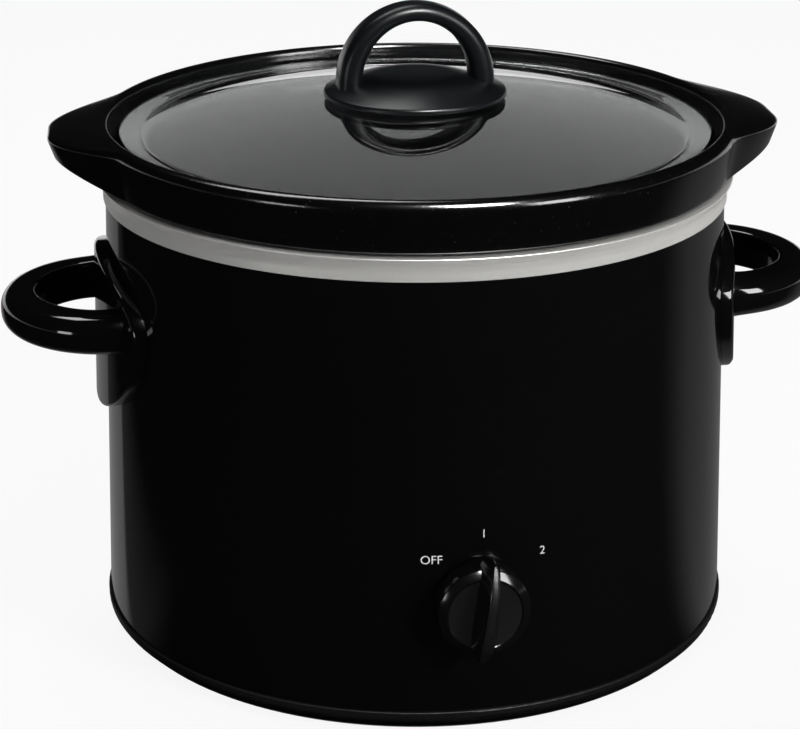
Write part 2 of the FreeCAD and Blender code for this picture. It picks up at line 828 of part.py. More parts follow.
def make_lead():
    # Right-hand lead: round the well from the switch, then up to the heater.
    first = math.degrees(math.atan2(lead_start.y, lead_start.x))
    last = lead_angle - 90 - math.degrees(math.atan2(lead_bend, lead_route))
    bend_start = polar(lead_route, last, knob_height)
    forward = polar(1, last + 90)
    up = Vector(0, 0, 1)
    bend_centre = bend_start + up * lead_bend
    bend_end = bend_centre + forward * lead_bend
    bend_middle = bend_centre + (forward - up).normalize() * lead_bend
    top = Vector(bend_end.x, bend_end.y, lead_top)
    route = Part.Wire([
        Part.Arc(lead_start, polar(lead_route, (first + last) / 2, knob_height), bend_start).toShape(),
        Part.Arc(bend_start, bend_middle, bend_end).toShape(),
        Part.LineSegment(bend_end, top).toShape(),
    ])
    heading = polar(1, first + 90)
    section = Part.Wire([Part.makeCircle(lead_radius, lead_start, heading)])
    return route.makePipeShell([section], True, True)


def make_heater_leads():
    lead = make_lead()
    return Part.makeCompound([lead, on_left(lead)])


def make_thermal_fuse():
    middle = (knob_height + lead_bend + lead_top) / 2
    fuse = ring(lead_radius + running_gap, fuse_radius, middle - fuse_length / 2, middle + fuse_length / 2)
    fuse.translate(polar(connection_radius, lead_angle - 90))
    return fuse


def wrapped(inner_gap, thickness, low, high, start, span):
    # Band that follows the well's wall, from one angle round to another.
    inner_low = heater_radius(low) + inner_gap
    inner_high = heater_radius(high) + inner_gap
    band = revolved([(inner_low, low, 0), (inner_low + thickness, low, 0),
                     (inner_high + thickness, high, 0), (inner_high, high, 0)], span)
    band.rotate(Vector(0, 0, 0), Vector(0, 0, 1), start)
    return band


def make_heating_band():
    end_angle = lead_angle - math.degrees(tab_width / connection_radius)
    band = wrapped(0, heater_thickness, heater_bottom, heater_top, end_angle - 90, 360 - 2 * end_angle)
    inner = heater_radius(heater_bottom) + heater_thickness / 2
    outer = connection_radius + 2 * lead_radius
    tab = block(outer - inner, tab_width, heater_bottom, heater_bottom + tab_thickness,
                x=(outer + inner) / 2)
    for angle in (lead_angle - 90, -90 - lead_angle):
        turned = tab.copy()
        turned.rotate(Vector(0, 0, 0), Vector(0, 0, 1), angle)
        band = band.fuse(turned)
    return band.removeSplitter()


strap_level = (heater_bottom + heater_top) / 2
strap_low = strap_level - strap_width / 2
strap_high = strap_level + strap_width / 2
strap_inner = heater_radius(strap_high) + heater_thickness + seat_gap
strap_screw_place = strap_inner + strap_ear / 2 + strap_thickness


def at_strap_ears(shape):
    # Strap and screw are drawn with the ears on +X, then turned to their place.
    turned = shape.copy()
    turned.rotate(Vector(0, 0, 0), Vector(0, 0, 1), strap_angle)
    return turned


def make_heater_strap():
    half_gap = math.degrees(strap_gap / 2 / strap_inner)
    strap = wrapped(heater_thickness + seat_gap, strap_thickness, strap_low, strap_high,
                    half_gap, 360 - 2 * half_gap)
    for side in (-1, 1):
        ear = block(strap_ear, strap_thickness, strap_low, strap_high,
                    x=strap_inner + strap_ear / 2 + strap_thickness / 2,
                    y=side * (strap_gap / 2 + strap_thickness / 2))
        strap = strap.fuse(ear)
    hole = Part.makeCylinder(strap_screw_radius + running_gap, 4 * strap_gap,
                             Vector(strap_screw_place, -2 * strap_gap, strap_level), Vector(0, 1, 0))
    return at_strap_ears(strap.cut(hole).removeSplitter())


def make_strap_screw():
    seat = Vector(strap_screw_place, -strap_gap / 2 - strap_thickness - seat_gap, strap_level)
    length = strap_gap + 4 * strap_thickness
    screw = pan_screw(strap_screw_radius, length, strap_screw_head, strap_screw_head_height)
    return at_strap_ears(placed(screw, facing(seat, Vector(0, 1, 0))))


right_handle = make_handle()
right_screws = make_handle_screws()

nodes = {
    "base_pan": make_base_pan(),
    "outer_shell": make_outer_shell(),
    "heating_well": make_heating_well(),
    "well_stud": make_well_stud(),
    "base_washer": make_base_washer(),
    "base_nut": make_base_nut(),
    "cord_gland": make_cord_gland(),
    "handle_right": right_handle,
    "handle_left": on_left(right_handle),
    "handle_screws_right": right_screws,
    "handle_screws_left": on_left(right_screws),
    "switch_body": make_switch_body(),
    "switch_nut": make_switch_nut(),
    "switch_terminals": make_switch_terminals(),
    "switch_shaft": make_switch_shaft(),
    "knob": make_knob(),
    "heating_band": make_heating_band(),
    "heater_strap": make_heater_strap(),
    "strap_screw": make_strap_screw(),
    "heater_leads": make_heater_leads(),
    "thermal_fuse": make_thermal_fuse(),
    "stoneware_crock": make_stoneware_crock(),
    "lid_glass": make_lid_glass(),
    "lid_gasket": make_lid_gasket(),
    "lid_handle": make_lid_handle(),
    "lid_handle_screw": make_lid_screw(),
    "lid_washer": make_lid_washer(),
}

os.makedirs("parts", exist_ok=True)
for name, shape in nodes.items():
    shape.exportStep("parts/" + name + ".step")
    print(name, len(shape.Solids), "solids", round(shape.Volume / 1000, 2), "cm3", "valid", shape.isValid())
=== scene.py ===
import bmesh
import bpy
import math
from mathutils import Matrix, Vector


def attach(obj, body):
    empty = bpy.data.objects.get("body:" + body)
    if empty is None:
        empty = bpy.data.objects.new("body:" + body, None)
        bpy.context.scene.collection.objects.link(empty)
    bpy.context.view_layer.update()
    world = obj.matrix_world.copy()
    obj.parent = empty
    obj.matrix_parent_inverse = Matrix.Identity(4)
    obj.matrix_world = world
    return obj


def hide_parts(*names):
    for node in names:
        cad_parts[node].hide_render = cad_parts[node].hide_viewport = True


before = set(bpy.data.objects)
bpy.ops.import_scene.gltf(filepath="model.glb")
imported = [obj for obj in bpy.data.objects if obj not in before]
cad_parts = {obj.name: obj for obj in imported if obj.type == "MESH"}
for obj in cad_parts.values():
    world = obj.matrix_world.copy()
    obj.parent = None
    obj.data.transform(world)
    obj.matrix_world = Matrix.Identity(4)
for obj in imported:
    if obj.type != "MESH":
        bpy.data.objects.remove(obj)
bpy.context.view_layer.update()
scene = bpy.context.scene
mm = 0.001
print("frame loaded:", len(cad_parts), "nodes")


# Shader maths: a Val is one value in a node tree, and sums of Vals add Math nodes

class Val:
    def __init__(self, look, socket):
        self.look = look
        self.socket = socket

    def maths(self, operation, *others):
        values = [self, *others]
        inputs = dict(enumerate(values))
        return self.look.node("ShaderNodeMath", {"operation": operation}, inputs)

    def __add__(self, other):
        return self.maths("ADD", other)

    def __sub__(self, other):
        return self.maths("SUBTRACT", other)

    def __rsub__(self, other):
        return self.look.node("ShaderNodeMath", {"operation": "SUBTRACT"}, {0: other, 1: self})

    def __mul__(self, other):
        return self.maths("MULTIPLY", other)

    def __truediv__(self, other):
        return self.maths("DIVIDE", other)

    __radd__ = __add__
    __rmul__ = __mul__

    def step(self, low, high):
        inputs = {"Value": self, "From Min": low, "From Max": high}
        return self.look.node("ShaderNodeMapRange", {"interpolation_type": "SMOOTHSTEP"}, inputs)


class Look:
    def __init__(self, owner):
        owner.use_nodes = True
        self.owner = owner
        self.tree = owner.node_tree
        self.tree.nodes.clear()

    def node(self, kind, settings=None, inputs=None, output=0):
        made = self.tree.nodes.new(kind)
        for key, value in (settings or {}).items():
            setattr(made, key, value)
        for key, value in (inputs or {}).items():
            if isinstance(value, Val):
                self.tree.links.new(value.socket, made.inputs[key])
            else:
                made.inputs[key].default_value = value
        return Val(self, made.outputs[output])

    def noise(self, vector, scale, detail=2.0, roughness=0.5):
        inputs = {"Vector": vector, "Scale": scale, "Detail": detail, "Roughness": roughness}
        return self.node("ShaderNodeTexNoise", None, inputs)

    def mixColour(self, amount, first, second):
        inputs = {"Factor": amount, "A": first, "B": second}
        return self.node("ShaderNodeMix", {"data_type": "RGBA"}, inputs, 2)

    def bump(self, height, strength, distance):
        inputs = {"Height": height, "Strength": strength, "Distance": distance}
        return self.node("ShaderNodeBump", None, inputs)

    def finish(self, shader):
        output = self.tree.nodes.new("ShaderNodeOutputMaterial")
        self.tree.links.new(shader.socket, output.inputs["Surface"])
        return self.owner

    def coords(self):
        return self.node("ShaderNodeTexCoord", None, None, "Object")

    def parts(self, vector):
        split = self.node("ShaderNodeSeparateXYZ", None, {0: vector})
        made = split.socket.node
        return [Val(self, made.outputs[axis]) for axis in range(3)]


def newLook(name):
    return Look(bpy.data.materials.new(name))


def rgb(red, green, blue):
    return (red, green, blue, 1.0)


# Finishes: scales count per metre, depths are in metres, and drift is a slow change over the surface

def rgbTimes(factor, tint):
    return rgb(*[factor * part for part in tint])


paintLook = {"dark": (0.0022, 0.0022, 0.0025), "light": (0.0034, 0.0034, 0.0038), "rough": 0.045,
             "roughDrift": 0.04, "driftScale": 9.0, "peelScale": 260.0, "peel": 0.06, "peelDepth": 0.00012}


def glossPaint():
    look = newLook("shellPaint")
    at = look.coords()
    peel = look.noise(at, paintLook["peelScale"], 2.0)
    drift = look.noise(at, paintLook["driftScale"], 3.0)
    return look.finish(look.node("ShaderNodeBsdfPrincipled", None, {
        "Base Color": look.mixColour(drift, rgb(*paintLook["dark"]), rgb(*paintLook["light"])),
        "Roughness": paintLook["rough"] + paintLook["roughDrift"] * drift,
        "Specular IOR Level": 0.5,
        "Normal": look.bump(peel, paintLook["peel"], paintLook["peelDepth"])}))


plasticLook = {"lightest": 1.7, "roughDrift": 0.05, "driftScale": 22.0, "waveScale": 60.0, "wave": 0.05,
               "waveDepth": 0.0004}


def glossPlastic(name, tint, rough):
    look = newLook(name)
    at = look.coords()
    drift = look.noise(at, plasticLook["driftScale"], 3.0)
    wave = look.noise(at, plasticLook["waveScale"], 1.0)
    return look.finish(look.node("ShaderNodeBsdfPrincipled", None, {
        "Base Color": look.mixColour(drift, rgb(*tint), rgbTimes(plasticLook["lightest"], tint)),
        "Roughness": rough + plasticLook["roughDrift"] * drift,
        "Specular IOR Level": 0.5,
        "Normal": look.bump(wave, plasticLook["wave"], plasticLook["waveDepth"])}))


grainLook = {"lightest": 1.8, "roughDrift": 0.12, "driftScale": 14.0, "grain": 0.5}


def grainPlastic(name, tint, rough, gloss, grainScale, grainDepth):
    look = newLook(name)
    at = look.coords()
    grain = look.noise(at, grainScale, 3.0, 0.6)
    drift = look.noise(at, grainLook["driftScale"], 3.0)
    return look.finish(look.node("ShaderNodeBsdfPrincipled", None, {
        "Base Color": look.mixColour(grain, rgb(*tint), rgbTimes(grainLook["lightest"], tint)),
        "Roughness": rough + grainLook["roughDrift"] * drift,
        "Specular IOR Level": gloss,
        "Normal": look.bump(grain, grainLook["grain"], grainDepth)}))


steelLook = {"lineTurn": 1.2, "lineRise": 900.0, "lineScale": 1.6, "grainScale": 1500.0, "driftScale": 11.0,
             "lineShare": 0.6, "grainShare": 0.4, "darkest": 0.82, "metal": 0.45, "roughShade": 0.1,
             "roughDrift": 0.06, "brush": 0.12, "brushDepth": 0.00008}


def satinSteel(name, tint, rough):
    # Fine lines run round the axis: the noise is stretched along the turn
    look = newLook(name)
    at = look.coords()
    x, y, z = look.parts(at)
    turn = x.maths("ARCTAN2", y)
    lines = look.node("ShaderNodeCombineXYZ", None, {
        0: turn * steelLook["lineTurn"], 1: z * steelLook["lineRise"], 2: 0.0})
    brush = look.noise(lines, steelLook["lineScale"], 4.0, 0.7)
    grain = look.noise(at, steelLook["grainScale"], 2.0)
    drift = look.noise(at, steelLook["driftScale"], 2.0)
    shade = steelLook["lineShare"] * brush + steelLook["grainShare"] * grain
    return look.finish(look.node("ShaderNodeBsdfPrincipled", None, {
        "Base Color": look.mixColour(shade, rgbTimes(steelLook["darkest"], tint), rgb(*tint)),
        "Metallic": steelLook["metal"],
        "Roughness": rough + steelLook["roughShade"] * shade + steelLook["roughDrift"] * drift,
        "Normal": look.bump(shade, steelLook["brush"], steelLook["brushDepth"])}))


glazeLook = {"dark": (0.0022, 0.0022, 0.0025), "speck": (0.03, 0.03, 0.034), "speckScale": 620.0,
             "speckEdge": (0.05, 0.26), "fineScale": 900.0, "fineEdge": (0.5, 0.62), "poolScale": 30.0,
             "rough": 0.08, "roughPool": 0.07, "roughFine": 0.07, "poolShare": 0.8, "relief": 0.2,
             "reliefDepth": 0.00016}


def glazedStoneware():
    look = newLook("stoneware")
    at = look.coords()
    speckInputs = {"Vector": at, "Scale": glazeLook["speckScale"]}
    speck = look.node("ShaderNodeTexVoronoi", None, speckInputs, "Distance")
    fine = look.noise(at, glazeLook["fineScale"], 3.0, 0.7)
    pool = look.noise(at, glazeLook["poolScale"], 3.0)
    dots = (1 - speck.step(*glazeLook["speckEdge"])) * fine.step(*glazeLook["fineEdge"])
    relief = fine + glazeLook["poolShare"] * pool
    return look.finish(look.node("ShaderNodeBsdfPrincipled", None, {
        "Base Color": look.mixColour(dots, rgb(*glazeLook["dark"]), rgb(*glazeLook["speck"])),
        "Roughness": glazeLook["rough"] + glazeLook["roughPool"] * pool + glazeLook["roughFine"] * fine,
        "Specular IOR Level": 0.5,
        "Normal": look.bump(relief, glazeLook["relief"], glazeLook["reliefDepth"])}))


glassLook = {"tint": (0.97, 0.985, 0.98), "bending": 1.48, "rippleScale": 26.0, "ripple": 0.03,
             "rippleDepth": 0.0003}


def clearGlass():
    look = newLook("lidGlass")
    ripple = look.noise(look.coords(), glassLook["rippleScale"], 1.0)
    return look.finish(look.node("ShaderNodeBsdfPrincipled", None, {
        "Base Color": rgb(*glassLook["tint"]),
        "Roughness": 0.0,
        "IOR": glassLook["bending"],
        "Transmission Weight": 1.0,
        "Normal": look.bump(ripple, glassLook["ripple"], glassLook["rippleDepth"])}))


plainLook = {"driftScale": 120.0, "darkest": 0.8, "roughDrift": 0.1}


def plainFinish(name, tint, rough, metal=0.0):
    look = newLook(name)
    drift = look.noise(look.coords(), plainLook["driftScale"], 3.0)
    return look.finish(look.node("ShaderNodeBsdfPrincipled", None, {
        "Base Color": look.mixColour(drift, rgbTimes(plainLook["darkest"], tint), rgb(*tint)),
        "Metallic": metal,
        "Roughness": rough + plainLook["roughDrift"] * drift}))


finishes = {
    "shell": glossPaint(),
    "handle": glossPlastic("handlePlastic", (0.0022, 0.0022, 0.0024), 0.05),
    "knob": glossPlastic("knobPlastic", (0.0028, 0.0028, 0.003), 0.12),
    "knobFace": grainPlastic("knobFace", (0.0032, 0.0032, 0.0035), 0.36, 0.3, 900.0, 0.0002),
    "lid": grainPlastic("lidPlastic", (0.0035, 0.0045, 0.0055), 0.24, 0.2, 1400.0, 0.00008),
    "base": grainPlastic("basePlastic", (0.003, 0.003, 0.0032), 0.42, 0.15, 700.0, 0.0002),
    "band": satinSteel("wellSteel", (0.80, 0.79, 0.765), 0.27),
    "fastener": plainFinish("fastenerSteel", (0.66, 0.66, 0.66), 0.3, 1.0),
    "brass": plainFinish("terminalBrass", (0.72, 0.56, 0.28), 0.3, 1.0),
    "foil": plainFinish("heaterFoil", (0.75, 0.75, 0.75), 0.35, 1.0),
    "sleeve": plainFinish("leadSleeve", (0.78, 0.75, 0.68), 0.6),
    "gasket": plainFinish("gasketRubber", (0.05, 0.05, 0.05), 0.55),
    "stoneware": glazedStoneware(),
    "glass": clearGlass(),
    "print": plainFinish("dialPrint", (0.86, 0.86, 0.86), 0.4),
}
print("finishes:", len(finishes))


# Modelling helpers; corners are (radius, height, rounding) in millimetres

def roundOff(bm, vert, radius, segments):
    back, ahead = [edge.other_vert(vert).co - vert.co for edge in vert.link_edges]
    turn = math.pi - back.angle(ahead)
    bmesh.ops.bevel(bm, geom=[vert], offset=radius * math.tan(turn / 2), offset_type="OFFSET",
                    segments=segments, profile=0.5, affect="VERTICES", material=-1)


def wireLoop(corners, segments=6):
    bm = bmesh.new()
    verts = [bm.verts.new((radius * mm, 0, height * mm)) for radius, height, rounding in corners]
    for here, following in zip(verts, verts[1:] + verts[:1]):
        bm.edges.new((here, following))
    for vert, (radius, height, rounding) in zip(verts, corners):
        if rounding:
            roundOff(bm, vert, rounding * mm, segments)
    return bm


def spun(corners, steps=240, segments=6, angle=2 * math.pi):
    bm = wireLoop(corners, segments)
    whole = math.isclose(angle, 2 * math.pi)
    bmesh.ops.spin(bm, geom=bm.verts[:] + bm.edges[:], cent=(0, 0, 0), axis=(0, 0, 1),
                   angle=angle, steps=steps, use_merge=whole)
    if not whole:
        bmesh.ops.holes_fill(bm, edges=bm.edges)
    tidy(bm)
    return bm


def tidy(bm):
    bmesh.ops.remove_doubles(bm, verts=bm.verts, dist=1e-6)
    bmesh.ops.dissolve_degenerate(bm, edges=bm.edges, dist=1e-7)
    bmesh.ops.recalc_face_normals(bm, faces=bm.faces)


def openEdges(bm):
    return [edge for edge in bm.edges if len(edge.link_faces) == 1]


def joined(first, second):
    mesh = bpy.data.meshes.new("joining")
    second.to_mesh(mesh)
    first.from_mesh(mesh)
    second.free()
    bpy.data.meshes.remove(mesh)
    return first


def addPiece(name, bm, finish, body, replaced=(), sharp=38, faceFinish=None):
    for face in bm.faces:
        face.smooth = True
    for edge in bm.edges:
        edge.smooth = len(edge.link_faces) == 2 and edge.calc_face_angle(0) < math.radians(sharp)
    mesh = bpy.data.meshes.new(name)
    bm.to_mesh(mesh)
    bm.free()
    piece = bpy.data.objects.new(name, mesh)
    scene.collection.objects.link(piece)
    mesh.materials.append(finishes[finish])
    if faceFinish:
        mesh.materials.append(finishes[faceFinish])
    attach(piece, body)
    for node in replaced:
        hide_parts(node)
    print("piece", name, len(mesh.polygons), "faces")
    return piece


# Outer shell: flared sheet with a lapped seam on the back left

shellSizes = {"topRadius": 118.5, "footRadius": 123.2, "bottom": 8.5, "top": 178.9, "sheet": 0.8,
              "footRound": 0.25, "seamWidth": 9.0, "seamAngle": 122.0, "seamTop": 170.0, "seamRound": 0.3}


def shellRadius(height):
    share = (height - shellSizes["bottom"]) / (shellSizes["top"] - shellSizes["bottom"])
    return shellSizes["footRadius"] + share * (shellSizes["topRadius"] - shellSizes["footRadius"])


def makeShell():
    low, high, sheet = shellSizes["bottom"], shellSizes["top"], shellSizes["sheet"]
    foot, top = shellRadius(low), shellRadius(high)
    bm = spun([(foot, low, shellSizes["footRound"]), (top, high, 0), (top - sheet, high, 0),
               (foot - sheet, low, 0)], 300)
    addPiece("outerShell", bm, "shell", "base", ["outer_shell"])
    seamTop, rounding = shellSizes["seamTop"], shellSizes["seamRound"]
    end = shellRadius(seamTop)
    seam = spun([(foot - sheet / 2, low, 0), (foot + sheet, low, rounding),
                 (end + sheet, seamTop, rounding), (end - sheet / 2, seamTop, 0)],
                8, 3, shellSizes["seamWidth"] / shellSizes["footRadius"])
    bmesh.ops.rotate(seam, cent=(0, 0, 0), verts=seam.verts,
                     matrix=Matrix.Rotation(math.radians(shellSizes["seamAngle"]), 3, "Z"))
    addPiece("shellSeam", seam, "shell", "base")


# Heating well: the rolled rim outside the shell is the bright band

wellSizes = {"rim": 179.7, "floor": 41.0, "mouth": 110.6, "floorRadius": 102.1, "sheet": 0.8,
             "corner": 30.0, "lip": 3.0, "skirtGap": 0.3, "flare": 2.2, "bandHeight": 8.7,
             "flareShare": 0.45, "edgeRound": 0.35, "skirtRound": 0.2}


def makeWell():
    rim, floor, sheet = wellSizes["rim"], wellSizes["floor"], wellSizes["sheet"]
    inner = shellSizes["topRadius"] + wellSizes["skirtGap"]
    outer = inner + sheet
    bottom = rim - wellSizes["bandHeight"]
    flareDrop = wellSizes["bandHeight"] * wellSizes["flareShare"]
    bm = spun([(0, floor, 0), (wellSizes["floorRadius"], floor, wellSizes["corner"]),
               (wellSizes["mouth"], rim, wellSizes["lip"]),
               (outer + wellSizes["flare"], rim, wellSizes["edgeRound"]),
               (outer, rim - flareDrop, 2 * flareDrop), (outer, bottom, wellSizes["skirtRound"]),
               (inner, bottom, 0), (inner, rim - sheet, 0),
               (wellSizes["mouth"] + sheet, rim - sheet, wellSizes["lip"] - sheet),
               (wellSizes["floorRadius"] + sheet, floor - sheet, wellSizes["corner"] + sheet),
               (0, floor - sheet, 0)], 300, 10)
    addPiece("heatingWell", bm, "band", "base", ["heating_well"])


# Crock: a spun pot whose rim is drawn out into two lugs

crockSizes = {"seat": 180.0, "top": 200.0, "rim": 123.0, "rimFoot": 119.8, "round": 3.8, "footRound": 1.2,
              "footOut": 0.2, "footRise": 1.1, "neckRound": 1.5, "lipRound": 2.4, "ledge": 191.0,
              "ledgeRadius": 116.5, "ledgeOuterRound": 2.0, "ledgeInnerRound": 4.0, "bottom": 49.0,
              "recess": 50.5, "footRing": 64.0, "footRingSlope": 1.5, "footRingRound": 0.5,
              "outerFoot": 100.1, "outerTop": 108.1, "floor": 58.0, "innerFoot": 92.6, "innerTop": 100.8,
              "corner": 28.0, "lugReach": 17.0, "lugTip": 3.0, "lugRoot": 22.5, "lugUnder": 0.5,
              "lugDroop": 2.5, "lipGap": 0.05, "seatGap": 0.3, "turn": -4.0}


def lugReach(angle):
    # How far the rim is drawn out at an angle, measured from the nearer side handle
    side = abs(math.atan2(math.sin(angle), abs(math.cos(angle))))
    tip, root = math.radians(crockSizes["lugTip"]), math.radians(crockSizes["lugRoot"])
    share = min(max((side - tip) / (root - tip), 0), 1)
    weight = 1 - share * share * (3 - 2 * share)
    return weight * ((crockSizes["rim"] + crockSizes["lugReach"]) / math.cos(side) - crockSizes["rim"])


def makeCrock():
    size = crockSizes
    slopeStart = size["rimFoot"] - 2 * size["footRound"]
    bm = spun([
        (0, size["recess"], 0), (size["footRing"], size["recess"], size["footRingRound"]),
        (size["footRing"] + size["footRingSlope"], size["bottom"], size["footRingRound"]),
        (size["outerFoot"], size["bottom"], size["corner"]),
        (size["outerTop"], size["seat"], size["neckRound"]), (slopeStart, size["seat"], 0),
        (size["rimFoot"] + size["footOut"], size["seat"] + size["footRise"], size["footRound"]),
        (size["rim"], size["top"], size["round"]), (size["ledgeRadius"], size["top"], size["lipRound"]),
        (size["ledgeRadius"], size["ledge"], size["ledgeOuterRound"]),
        (size["innerTop"], size["ledge"], size["ledgeInnerRound"]),
        (size["innerFoot"], size["floor"], size["corner"]), (0, size["floor"], 0)], 360, 8)
    drawn = size["ledgeRadius"] + size["lipRound"] + size["lipGap"]
    droop = size["lugDroop"] / size["lugReach"]
    for vert in bm.verts:
        radius = math.hypot(vert.co.x, vert.co.y) / mm
        height = vert.co.z / mm
        if radius < drawn or height < size["seat"] + size["seatGap"]:
            continue
        reach = lugReach(math.atan2(vert.co.y, vert.co.x))
        depth = (size["top"] - height) / (size["top"] - size["seat"])
        vert.co.x *= (radius + reach) / radius
        vert.co.y *= (radius + reach) / radius
        vert.co.z += reach * (size["lugUnder"] * depth - droop * (1 - depth)) * mm
    bmesh.ops.rotate(bm, cent=(0, 0, 0), verts=bm.verts,
                     matrix=Matrix.Rotation(math.radians(size["turn"]), 3, "Z"))
    addPiece("crock", bm, "stoneware", "crock", ["stoneware_crock"])


# Lid: domed glass, grip plate and arch

lidSizes = {"radius": 114.1, "seat": 191.3, "thick": 4.0, "flange": 9.0, "rise": 13.2,
            "edgeShare": 0.98, "domeShare": 0.999, "underShare": 0.995,  # roundings, just short of full
            "plateRadius": 35.0, "plateEdge": 2.0, "plateCrown": 6.5, "plateShoulder": 18.0,
            "plateGap": 0.3, "plateFootRound": 0.4, "plateEdgeRound": 1.3, "plateShoulderRound": 26.0,
            "pocket": 12.3, "pocketTop": 1.3, "archRadius": 30.0, "archRise": 34.0, "archThick": 9.0,
            "crownLift": 2.4, "archDepth": 15.0, "archRound": 4.3,
            "feet": ((1.2, 1.0), (1.5, 1.06), (1.4, 1.2), (1.0, 1.45))}  # drop and flare of each step
lidApex = lidSizes["seat"] + lidSizes["thick"] + lidSizes["rise"]
domeEdge = lidSizes["radius"] - lidSizes["flange"]
domeSphere = (domeEdge ** 2 + lidSizes["rise"] ** 2) / (2 * lidSizes["rise"])


def domeHeight(radius):
    return lidApex - domeSphere + math.sqrt(domeSphere ** 2 - radius ** 2)


def makeLidGlass():
    thick = lidSizes["thick"]
    top = lidSizes["seat"] + thick
    tangent = domeSphere * math.tan(math.asin(domeEdge / domeSphere) / 2)
    edge = thick / 2 * lidSizes["edgeShare"]
    under = domeSphere - thick
    underEdge = domeEdge - thick / 3
    underTangent = under * math.tan(math.asin(underEdge / domeSphere) / 2)
    bm = spun([(0, lidApex, 0), (tangent, lidApex, domeSphere * lidSizes["domeShare"]), (domeEdge, top, 0),
               (lidSizes["radius"], top, edge), (lidSizes["radius"], lidSizes["seat"], edge),
               (underEdge, lidSizes["seat"], 0),
               (underTangent, lidApex - thick, under * lidSizes["underShare"]),
               (0, lidApex - thick, 0)], 240, 14)
    addPiece("lidGlass", bm, "glass", "lid", ["lid_glass"], 50)


def makeLidHandle():
    size = lidSizes
    skirt = domeHeight(size["plateRadius"]) + size["plateGap"]
    pocketTop = lidApex + size["pocketTop"]
    crown = lidApex + size["plateCrown"]
    bm = spun([(0, pocketTop, 0), (size["pocket"], pocketTop, 0),
               (size["pocket"], domeHeight(size["pocket"]) + size["plateGap"], 0),
               (size["plateRadius"], skirt, size["plateFootRound"]),
               (size["plateRadius"], skirt + size["plateEdge"], size["plateEdgeRound"]),
               (size["plateShoulder"], crown, size["plateShoulderRound"]), (0, crown, 0)], 160, 8)
    joined(bm, archGrip())
    addPiece("lidHandle", bm, "lid", "lid", ["lid_handle"])


def archGrip():
    # Rounded section swung over the top, then drawn down into two flared feet
    size = lidSizes
    thick, depth = size["archThick"], size["archDepth"]
    outer, rounding = size["archRadius"], size["archRound"]
    inner = outer - thick
    centre = lidApex + size["archRise"] - outer
    bm = wireLoop([(inner, -depth / 2, rounding), (outer, -depth / 2, rounding),
                   (outer, depth / 2, rounding), (inner, depth / 2, rounding)], 6)
    bmesh.ops.spin(bm, geom=bm.verts[:] + bm.edges[:], cent=(0, 0, 0), axis=(0, 0, 1),
                   angle=math.pi, steps=64)
    bmesh.ops.recalc_face_normals(bm, faces=bm.faces)
    for vert in bm.verts:
        radius = math.hypot(vert.co.x, vert.co.y) / mm
        vert.co.y += size["crownLift"] * (outer - radius) / thick * vert.co.y / radius
    upright = Matrix.Translation((0, 0, centre * mm)) @ Matrix.Rotation(math.pi / 2, 4, "X")
    bmesh.ops.transform(bm, verts=bm.verts, matrix=upright)
    for drop, flare in size["feet"]:
        ends = openEdges(bm)
        fresh = bmesh.ops.extrude_edge_only(bm, edges=ends)["geom"]
        feet = [part for part in fresh if isinstance(part, bmesh.types.BMVert)]
        for side in (-1, 1):
            foot = [vert for vert in feet if vert.co.x * side > 0]
            middle = Vector((side * (outer - thick / 2) * mm, 0, foot[0].co.z))
            bmesh.ops.translate(bm, verts=foot, vec=(0, 0, -drop * mm))
            bmesh.ops.scale(bm, verts=foot, vec=(flare, flare ** 0.5, 1),
                            space=Matrix.Translation(-middle))
    bmesh.ops.holes_fill(bm, edges=openEdges(bm))
    tidy(bm)
    return bm


# Side handles: a loop on a plate that follows the shell

handleSizes = {"height": 130.5, "thick": 15.0, "reach": 40.5, "halfWidth": 43.0, "holeShare": 0.67,
               "round": 6.6, "holeRound": 1.6, "plateThick": 4.5, "plateHalf": 50.0, "plateRise": 21.0,
               "plateDrop": 39.0, "plateLevel": 131.5, "plateRound": 1.2, "gap": 0.1, "root": -7.0,
               "rootStart": 12.0, "rootFlare": 0.22, "plateCells": 36}


def handleLoop():
    size = handleSizes
    mean = (size["reach"] + size["halfWidth"]) / 2
    half = size["thick"] / 2
    hole = mean * size["holeShare"]
    bm = spun([(hole, -half, size["holeRound"]), (mean, -half, size["round"]),
               (mean, half, size["round"]), (hole, half, size["holeRound"])], 160, 8)
    bmesh.ops.scale(bm, verts=bm.verts, vec=(size["reach"] / mean, size["halfWidth"] / mean, 1))
    root = size["root"]
    bmesh.ops.bisect_plane(bm, geom=bm.verts[:] + bm.edges[:] + bm.faces[:], plane_co=(root * mm, 0, 0),
                           plane_no=(1, 0, 0), clear_inner=True)
    bmesh.ops.holes_fill(bm, edges=openEdges(bm))
    for vert in bm.verts:
        share = max(0, (size["rootStart"] - vert.co.x / mm) / (size["rootStart"] - root))
        vert.co.z *= 1 + size["rootFlare"] * share ** 3
    place = (shellRadius(size["height"]) * mm, 0, size["height"] * mm)
    bmesh.ops.translate(bm, verts=bm.verts, vec=place)
    return bm


